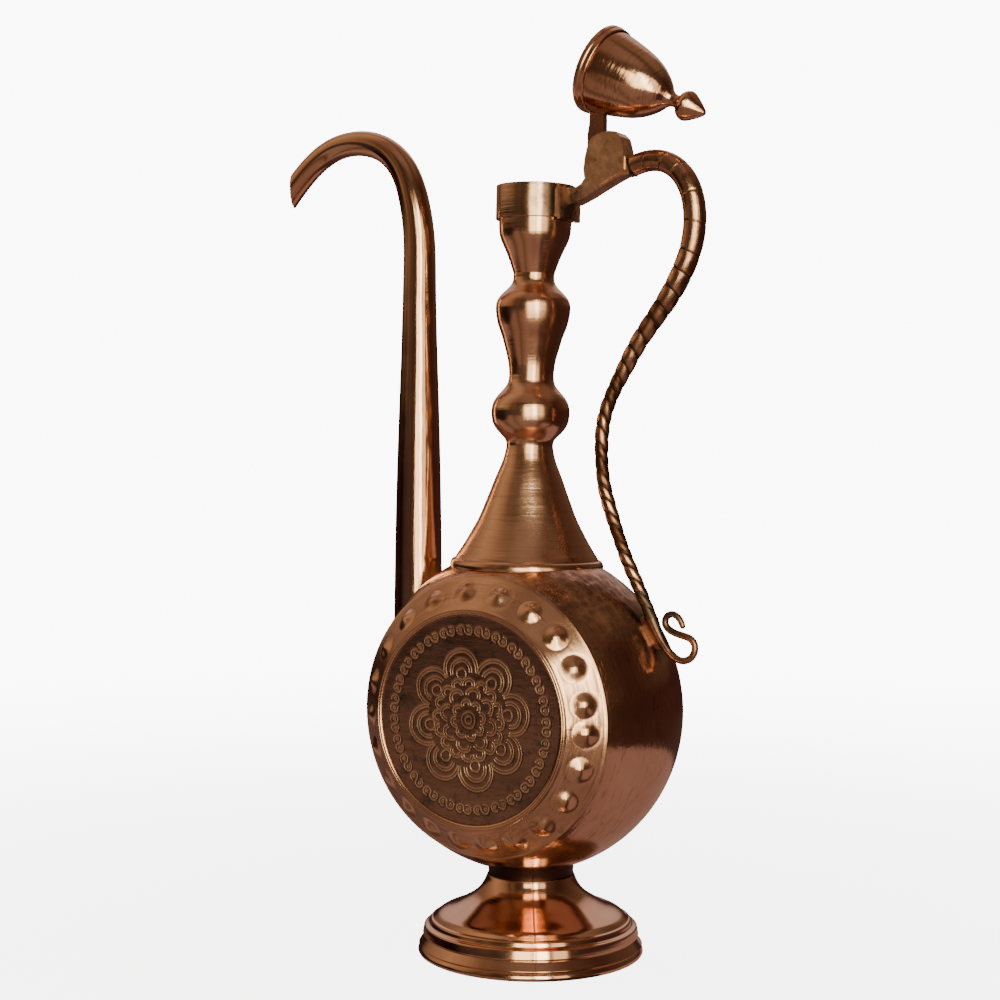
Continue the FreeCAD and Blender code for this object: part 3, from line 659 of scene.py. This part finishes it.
def spout():
    cut, skew = np.array([-127.1, 0.0]), math.radians(18)
    face = np.array([-math.cos(skew), -math.sin(skew)])
    path = smooth(SPOUT_PATH, 0.6)

    def trim(points):
        return (points[..., :2] - cut) @ face > 0

    def relief(s, angle, radius):
        return 0.10 * ripple(s * 0.09, angle * 2, 51)

    outer = sweep(path, SPOUT_RADII, 96, 0.0, relief, trim)
    inner = sweep(path, SPOUT_RADII, 96, SHEET, None, trim)
    tube_piece("spout_tube", outer, inner, spout_copper, "polished_copper", scored=False)


HANDLE_PATH = [(45.5, 326.1), (52.1, 327.7), (59.3, 327.2), (66.5, 323.0), (72.1, 314.0),
               (73.8, 303.0), (72.1, 291.5), (66.3, 278.6), (58.4, 267.0), (49.7, 255.6),
               (42.5, 243.8), (36.3, 232.0), (33.0, 221.0), (32.4, 210.0), (33.9, 197.0),
               (37.7, 184.0), (43.3, 169.6), (49.6, 156.4), (56.2, 143.0)]
HANDLE_RADII = [4.35, 4.4, 4.6, 4.7, 4.6, 4.45, 4.1, 3.7, 3.35, 3.1, 3.05, 3.05, 3.0, 2.9, 2.8, 2.7]
SCROLL_PATH = [(56.2, 143.0), (58.5, 138.2), (60.9, 134.0), (63.2, 131.0), (66.0, 128.5),
               (68.8, 127.1), (71.7, 127.3), (74.2, 129.1), (75.2, 131.6), (74.9, 134.2),
               (73.2, 136.0), (70.6, 136.9), (67.4, 137.7), (64.2, 139.0), (62.1, 141.4),
               (62.6, 144.2), (64.8, 145.5), (67.2, 144.8), (68.9, 142.9), (69.8, 140.9)]
SCROLL_RADII = [2.5, 2.0, 1.6, 1.5, 1.45, 1.45, 1.45, 1.45, 1.45, 1.45, 1.4, 1.35, 1.2]
SCORES = [7.5, 15.5, 23, 34, 46, 57.5, 66, 74, 82, 89.5, 97, 104]   # scored rings, along the handle
TWIST_FROM, TWIST_PITCH = 111.0, 5.8                                # then closer, slanting cuts
SCORE_DEPTH, SCORE_HALF = 0.2, 0.26
SCROLL_GROOVE = 0.14                    # darkens the whole scroll, as a groove of this depth would


def handle():
    path = smooth(HANDLE_PATH, 0.35)
    length = np.linalg.norm(np.diff(path, axis=0), axis=1).sum()

    rng = np.random.RandomState(63)
    cuts = SCORES + list(np.arange(TWIST_FROM, length - 4, TWIST_PITCH))
    cuts = [c + rng.uniform(-0.35, 0.35) for c in cuts]

    def relief(s, angle, radius):
        depth = np.zeros(s.shape)
        slant = np.interp(s, [60, 130, 200], [0.15, 0.9, 1.0])
        slanted = s - slant * radius * np.sin(angle + 0.6)
        for at in cuts:
            depth -= SCORE_DEPTH * np.exp(-((slanted - at) / SCORE_HALF) ** 2)
        edges = np.array([-5] + cuts + [length + 5])
        cell = np.clip(np.searchsorted(edges, slanted) - 1, 0, len(edges) - 2)
        share = (slanted - edges[cell]) / (edges[cell + 1] - edges[cell])
        # barrel-shaped segments and sunk cells darken through the groove attribute: painted shade between
        # the twist's lit crests, and a darker tone down the lower handle that differs from segment to
        # segment
        worked = np.interp(s, [44, 70, 108, 116], [0.0, 0.6, 0.8, 0.9])
        tone_and_shade = np.interp(s, [60, 125], [0.03, 0.13]) * (1 + 0.8 * np.sin(5.1 * cell)) \
            + 0.04 * ripple(s * 0.8, angle * 2, 64)
        depth -= worked * (0.42 * (2 * share - 1) ** 2 * (0.75 + 0.25 * np.sin(2.4 * cell + angle)))
        depth -= tone_and_shade
        depth -= 0.5 * np.exp(-(s / 0.8) ** 2)
        return depth + 0.05 * ripple(s * 0.2, angle * 2, 61)

    outer = sweep(path, HANDLE_RADII, 56, 0.0, relief)
    inner = sweep(path, HANDLE_RADII, 56, TUBE_WALL + SCORE_ROOM)
    tube_piece("handle_tube", outer, inner, tube_copper, "scored_copper")
    scroll_path = smooth(SCROLL_PATH, 0.3)

    def hammered(s, angle, radius):
        return 0.07 * ripple(s * 0.9, angle * 2, 62)

    grid, _, tool = sweep(scroll_path, SCROLL_RADII, 32, 0.0, hammered)
    start, tip = grid[0].mean(0), grid[-1].mean(0)
    nose = scroll_path[-1] - scroll_path[-2]
    nose = np.array([nose[0], 0, nose[1]]) / np.linalg.norm(nose)
    dome = [tip + (grid[-1] - tip) * k + nose * e for k, e in ((0.85, 0.5), (0.55, 0.9), (0.05, 1.05))]
    grid = np.concatenate([[start + (grid[0] - start) * 0.02], grid, dome])
    tool = np.concatenate([tool[:1], tool, tool[-1:], tool[-1:], tool[-1:]])
    groove = np.full(grid.shape[:2], SCROLL_GROOVE)
    made = grid_object("handle_scroll_look", grid, False, tool, 60, groove, caps=True)
    finished(made, tube_copper, "scored_copper", "jug", "handle_scroll")


# ---- lid ----------------------------------------------------------------------------------------
def lid():
    rim = eased([(14.9, 0), (18.4, 0), (18.4, 1.9), (18.05, 2.4), (17.95, 4.2), (17.25, 4.7),
                 (17.25, 1.2), (14.9, 1.2)], 0.3, closed=True)
    turned_piece("lid_rim_ring", rim, 300, swung, spun_copper, "polished_copper", "lid")
    bell = smooth([(17.2, 1.2), (17.15, 3.0), (16.95, 5.5), (16.5, 8.4), (15.4, 13.6), (13.9, 19.4),
                   (11.8, 24.9), (9.2, 29.2), (5.8, 33.2), (3.7, 35.3), (2.9, 36.6)], 0.4)
    turned_piece("lid_bell", walled(bell, SHEET), 280, swung, bell_copper, "turned_copper", "lid",
                 relief=lambda r, h, theta: 0.03 * ripple(theta * 3, h * 0.25, 71))
    stem = smooth([(2.9, 36.6), (2.6, 38.2), (2.8, 39.4), (4.5, 40.8), (5.8, 42.4), (6.2, 43.8)], 0.3)
    point = smooth([(6.2, 43.8), (5.9, 44.9), (4.9, 46.8), (3.4, 49.2), (1.8, 51.4), (0.6, 52.6),
                    (0.02, 52.8)], 0.3)
    knob = np.concatenate([stem, point[1:]])
    section = np.concatenate([knob, [(0.02, 36.6)]])
    turned_piece("lid_finial", section, 160, swung, bell_copper, "turned_copper", "lid")


# ---- carried-over CAD nodes ---------------------------------------------------------------------
def dress(node_name, material):
    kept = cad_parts[node_name]
    kept.data.materials.clear()
    kept.data.materials.append(material)


# ---- studio -------------------------------------------------------------------------------------
LENS, SENSOR = 64.8, 36.0               # camera, in millimetres
EYE = Vector((0.38294, -0.65144, 0.20622))
PAN = math.radians(31.5)                # the camera looks this far round from +Y towards -X
TILT = math.radians(1.2094)             # downwards
ROLL = math.radians(-0.31)
TO_RIGHT = Vector((math.cos(PAN), math.sin(PAN), 0))
TO_CAMERA = Vector((math.sin(PAN), -math.cos(PAN), 0))
ROOM_SHEET_HEIGHT = math.radians(38)    # the pale sheet behind the jug, in reflections only
JUG_MIDDLE = Vector((0, 0, 0.19))
TABLE_R = 0.315         # the near table top right of the jug, seen only in its reflections
TABLE_Z, FLOOR_Z = -0.0001, -0.0002
BACKDROP = 10.0         # how bright the white backdrop looks


def camera():
    away = Vector((-math.sin(PAN), math.cos(PAN), 0))
    look = away * math.cos(TILT) + Vector((0, 0, -math.sin(TILT)))
    up = TO_RIGHT.cross(look)
    across = TO_RIGHT * math.cos(ROLL) - up * math.sin(ROLL)
    upward = TO_RIGHT * math.sin(ROLL) + up * math.cos(ROLL)
    turn = Matrix((across, upward, -look)).transposed().to_4x4()
    data = bpy.data.cameras.new("camera")
    data.lens, data.sensor_width = LENS, SENSOR
    data.clip_start, data.clip_end = 0.01, 50
    made = bpy.data.objects.new("camera", data)
    bpy.context.scene.collection.objects.link(made)
    made.matrix_world = Matrix.Translation(EYE) @ turn
    bpy.context.scene.camera = made


def surroundings():
    """White for the camera.  Reflections see a dark room instead: belts of colour by bearing."""
    world = bpy.data.worlds.new("studio")
    bpy.context.scene.world = world
    world.use_nodes = True
    tree = world.node_tree
    tree.nodes.clear()
    way = node(tree, "TexCoord").outputs["Generated"]

    def along(direction):
        return node(tree, "VectorMath", {0: way, 1: direction}, operation="DOT_PRODUCT").outputs["Value"]

    def belt(stops):
        """Colour by bearing, in degrees from TO_CAMERA, positive to the right."""
        return ramp(tree, around, [((bearing + 180) / 360, colour) for bearing, colour in stops])

    def rising(value, centre, spread):
        """0 below the centre and 1 above it, over twice the spread."""
        return node(tree, "MapRange", {"Value": value, "From Min": centre - spread,
                                       "From Max": centre + spread},
                    interpolation_type="SMOOTHSTEP").outputs[0]

    bearing = node(tree, "Math", {0: along(TO_RIGHT), 1: along(TO_CAMERA)},
                   operation="ARCTAN2").outputs[0]
    around = node(tree, "MapRange", {"Value": bearing, "From Min": -math.pi,
                                     "From Max": math.pi}).outputs[0]
    height = node(tree, "SeparateXYZ", {"Vector": way}).outputs["Z"]
    clutter = node(tree, "TexNoise", {"Vector": way, "Scale": 3.2, "Detail": 3.0}).outputs["Fac"]
    edge = node(tree, "Math", {0: clutter, 1: 0.10, 2: -0.05}, operation="MULTIPLY_ADD").outputs[0]
    uneven = node(tree, "Math", {0: height, 1: edge}, operation="ADD").outputs[0]
    drop = belt([(-180, (0.13,) * 3), (-120, (0.15,) * 3), (-100, (0.33,) * 3), (-80, (0.30,) * 3),
                 (-68, (0.125,) * 3), (-56, (0.14,) * 3), (-37, (0.155,) * 3), (-28, (0.25,) * 3),
                 (38, (0.25,) * 3), (50, (0.12,) * 3), (180, (0.13,) * 3)])
    above = node(tree, "Math", {0: height, 1: drop}, operation="ADD").outputs[0]
    ground = belt([(-180, (0.08, 0.045, 0.038)), (-146, (0.12, 0.07, 0.055)),
                   (-112, (0.35, 0.24, 0.21)), (-88, (0.10, 0.055, 0.035)), (-80, (0.24, 0.155, 0.095)),
                   (-69, (0.26, 0.175, 0.13)), (-58, (0.27, 0.18, 0.13)), (-50, (0.08, 0.045, 0.028)),
                   (-44, (0.24, 0.155, 0.095)), (-34, (0.25, 0.16, 0.115)), (-26, (0.29, 0.19, 0.15)),
                   (-4, (0.22, 0.14, 0.11)), (16, (0.28, 0.18, 0.145)), (28, (0.06, 0.026, 0.019)),
                   (105, (0.05, 0.022, 0.017)), (180, (0.08, 0.045, 0.038))])
    low = belt([(-180, (0.04, 0.017, 0.014)), (-120, (0.02, 0.008, 0.006)), (-88, (0.009, 0.004, 0.003)),
                (-76, (0.045, 0.032, 0.029)), (-60, (0.06, 0.041, 0.035)),
                (-46, (0.075, 0.047, 0.037)), (-36, (0.048, 0.030, 0.024)),
                (-30, (0.06, 0.035, 0.024)), (60, (0.045, 0.022, 0.015)), (95, (0.048, 0.020, 0.017)),
                (118, (0.062, 0.024, 0.021)), (180, (0.04, 0.017, 0.014))])
    middle = belt([(-180, (0.10, 0.06, 0.045)), (-135, (0.24, 0.155, 0.105)), (-100, (0.52, 0.35, 0.21)),
                   (-72, (0.30, 0.19, 0.11)), (-60, (0.10, 0.058, 0.035)), (-52, (0.17, 0.105, 0.06)),
                   (-40, (0.06, 0.035, 0.022)), (50, (0.08, 0.045, 0.03)), (75, (0.045, 0.019, 0.014)),
                   (120, (0.10, 0.06, 0.04)), (150, (0.15, 0.095, 0.06)), (180, (0.10, 0.06, 0.045))])
    ceiling = belt([(-180, (0.16, 0.09, 0.065)), (-100, (0.52, 0.35, 0.22)), (-50, (0.20, 0.13, 0.085)),
                    (-20, (0.27, 0.18, 0.13)), (20, (0.25, 0.165, 0.12)), (50, (0.10, 0.05, 0.036)),
                    (80, (0.22, 0.14, 0.09)), (150, (0.24, 0.155, 0.10)), (180, (0.16, 0.09, 0.065))])
    room = blended(tree, ground, low, rising(above, 0.0, 0.015))
    room = blended(tree, room, middle, rising(uneven, 0.12, 0.06))
    room = blended(tree, room, ceiling, rising(uneven, 0.70, 0.14))
    sheet = -TO_CAMERA * math.cos(ROOM_SHEET_HEIGHT) + Vector((0, 0, math.sin(ROOM_SHEET_HEIGHT)))
    room = blended(tree, room, (0.62, 0.47, 0.43), rising(along(sheet), 0.865, 0.045))
    seen = node(tree, "LightPath").outputs["Is Camera Ray"]
    dim = node(tree, "Background", {"Color": room, "Strength": 1.0})
    white = node(tree, "Background", {"Color": (1, 1, 1, 1), "Strength": BACKDROP})
    both = node(tree, "MixShader", {0: seen, 1: dim.outputs[0], 2: white.outputs[0]})
    node(tree, "OutputWorld", {"Surface": both.outputs[0]})


def softbox(name, azimuth, elevation, distance, size, power, colour):
    """Area light at a direction from the jug's middle; azimuth 0 is towards -Y, 90 towards +X."""
    a, e = math.radians(azimuth), math.radians(elevation)
    back = Vector((math.sin(a) * math.cos(e), -math.cos(a) * math.cos(e), math.sin(e)))
    light = bpy.data.lights.new(name, "AREA")
    light.shape, light.size, light.size_y = "RECTANGLE", size[0], size[1]
    light.energy, light.color = power, colour
    made = bpy.data.objects.new(name, light)
    bpy.context.scene.collection.objects.link(made)
    made.rotation_mode = "QUATERNION"
    made.location = JUG_MIDDLE + back * distance
    made.rotation_quaternion = back.to_track_quat("Z", "Y")
    made.visible_camera = False
    return made


def lights():
    """Soft window of three panes, and an overhead light that only the floor takes."""
    softbox("window_left", 23, 6.0, 1.5, (0.50, 1.12), 8.5, (1.0, 0.84, 0.52))
    softbox("window_middle", 42, 8.6, 1.5, (0.34, 1.20), 12, (1.0, 0.88, 0.60))
    softbox("window_right", 61, 8.6, 1.5, (0.40, 1.10), 2.6, (1.0, 0.78, 0.48))
    softbox("ceiling", 0, 88, 2.2, (1.6, 1.6), 30, (1.0, 0.97, 0.94)).visible_glossy = False


def table_top():
    """Lit fan of table top right of the jug, which only reflections see."""
    edge = [(TABLE_R * math.cos(a), TABLE_R * math.sin(a), TABLE_Z)
            for a in np.radians(np.linspace(-22, 118, 30))]
    top = bpy.data.meshes.new("table_top")
    top.from_pydata([(0, 0, TABLE_Z)] + edge, [], [(0, k, k + 1) for k in range(1, len(edge))])
    table = bpy.data.objects.new("table_top", top)
    bpy.context.scene.collection.objects.link(table)
    lit = bpy.data.materials.new("table_light")
    lit.use_nodes = True
    tree = lit.node_tree
    tree.nodes.clear()
    glow = node(tree, "Emission", {"Color": (0.33, 0.215, 0.185, 1), "Strength": 1.0})
    node(tree, "OutputMaterial", {"Surface": glow.outputs[0]})
    top.materials.append(lit)
    table.visible_camera = table.visible_shadow = table.visible_diffuse = False


def pale_floor():
    """Floor that fades into the white backdrop, and that reflections don't see."""
    bpy.ops.mesh.primitive_plane_add(size=60, location=(0, 0, FLOOR_Z))
    floor = bpy.context.object
    floor.name = "floor"
    pale = bpy.data.materials.new("pale_floor")
    pale.use_nodes = True
    tree = pale.node_tree
    tree.nodes.clear()
    spot = node(tree, "TexCoord").outputs["Object"]
    reach = node(tree, "VectorMath", {0: spot}, operation="LENGTH").outputs["Value"]
    far = node(tree, "MapRange", {"Value": reach, "From Min": 0.12, "From Max": 1.1},
               interpolation_type="SMOOTHSTEP").outputs[0]
    grain = node(tree, "TexNoise", {"Vector": spot, "Scale": 40.0, "Detail": 4.0}).outputs["Fac"]
    tint = ramp(tree, grain, [(0.3, (0.84, 0.83, 0.82)), (0.7, (0.88, 0.87, 0.86))])
    paper = node(tree, "BsdfDiffuse", {"Color": tint})
    glow = node(tree, "Emission", {"Color": (1, 1, 1, 1), "Strength": BACKDROP})
    mixed = node(tree, "MixShader", {0: 0.55, 1: paper.outputs[0], 2: glow.outputs[0]})
    fade = node(tree, "MixShader", {0: far, 1: mixed.outputs[0], 2: glow.outputs[0]})
    node(tree, "OutputMaterial", {"Surface": fade.outputs[0]})
    floor.data.materials.append(pale)
    floor.visible_glossy = floor.visible_diffuse = floor.visible_shadow = False


foot()
band()
dish(-1, "front_dish")
dish(1, "rear_dish")
medallion(-1, "front_medallion")
medallion(1, "rear_medallion")
neck()
spout()
handle()
lid()
dress("handle_bracket", cast_brass)
dress("hinge_pin", cast_brass)
dress("lid_strap", strap_copper)
dress("handle_foot_pad", strap_copper)
camera()
surroundings()
lights()
table_top()
pale_floor()
